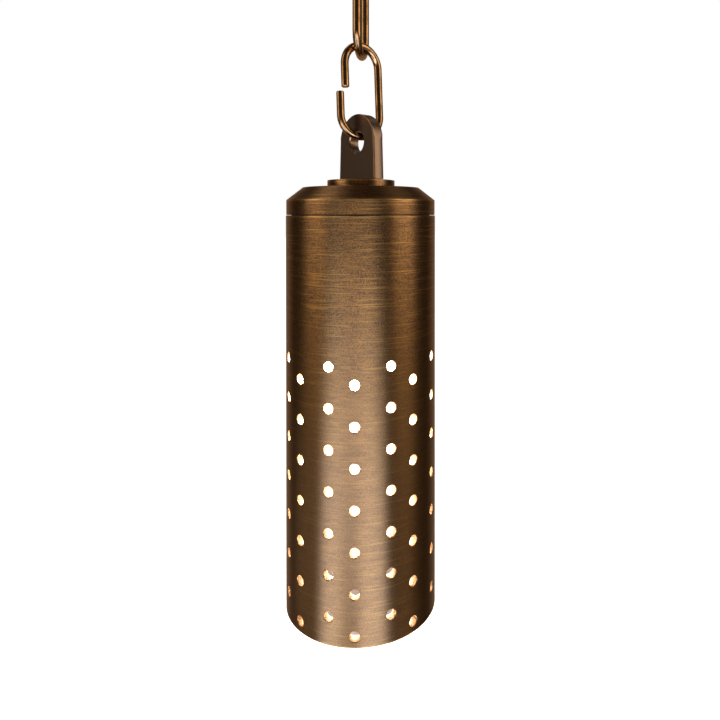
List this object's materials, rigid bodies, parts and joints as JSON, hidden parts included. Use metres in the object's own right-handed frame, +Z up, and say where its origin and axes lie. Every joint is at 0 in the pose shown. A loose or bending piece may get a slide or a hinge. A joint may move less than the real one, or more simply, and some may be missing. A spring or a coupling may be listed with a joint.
{
  "type": "outdoor pendant light",
  "caption": "Perforated bronze tube light under a turned cap, hung by an eye from an opened chain link and an oval link.",
  "frame": {"origin": "where a hook bears in the top bend of the upper chain link, on the lamp's vertical axis", "axes": "+Z up along the lamp's axis; the eye's flat faces look along Y, and the cable inlet is on its +Y side"},
  "size_m": [0.0634, 0.0634, 0.2741],
  "materials": {
    "aged_brass": "brushed along the turning, antique bronze patina",
    "dark_bronze": "satin dark bronze patina, worn on its edges",
    "chain_brass": "polished wire, antique brass",
    "steel": "plain stainless",
    "black_rubber": "matt",
    "silicone": "matt, pale grey",
    "ceramic": "unglazed steatite",
    "reflector_glass": "pressed glass, mirror coated inside",
    "clear_glass": "clear, polished"
  },
  "bodies": {
    "upper_link": {"upper_chain_link": "chain_brass"},
    "open_link": {"open_chain_link": "chain_brass"},
    "housing": {"hanger_eye": "dark_bronze", "eye_washer": "steel", "eye_nut": "steel", "cap": "aged_brass", "cap_o_ring": "black_rubber", "cable_bushing": "black_rubber", "bracket_screw_left": "steel", "bracket_screw_right": "steel", "lamp_bracket": "steel", "socket_screw_left": "steel", "socket_screw_right": "steel", "lamp_socket": "ceramic", "socket_lead_left": "silicone", "socket_lead_right": "silicone", "lamp_reflector": "reflector_glass", "lamp_front_glass": "clear_glass", "lamp_capsule": "clear_glass", "lamp_pin_left": "steel", "lamp_pin_right": "steel"},
    "gasket": {"seam_gasket": "black_rubber"},
    "sleeve": {"perforated_sleeve": "aged_brass", "sleeve_lens": "clear_glass", "lens_gasket": "silicone", "lens_snap_ring": "steel"}
  },
  "joints": [
    {"name": "link_swing", "type": "hinge", "parent": "upper_link", "child": "open_link", "pos_m": [0, 0, -0.0371], "axis": [-0.866, 0.5, 0], "range_deg": [-60, 60]},
    {"name": "lamp_swing", "type": "hinge", "parent": "open_link", "child": "housing", "pos_m": [0, 0, -0.0717], "axis": [0.2586, 0.966, 0], "range_deg": [-60, 60]},
    {"name": "sleeve_travel", "type": "slide", "parent": "housing", "child": "gasket", "axis": [0, 0, -1], "range_m": [0, 0.0061]},
    {"name": "sleeve_turn", "type": "hinge", "parent": "gasket", "child": "sleeve", "pos_m": [0, 0, -0.10552], "axis": [0, 0, -1], "range_deg": [0, 1440]}
  ],
  "couplings": [
    {"joint": "sleeve_travel", "follows": "sleeve_turn", "m_per_rad": 0.00023873}
  ]
}
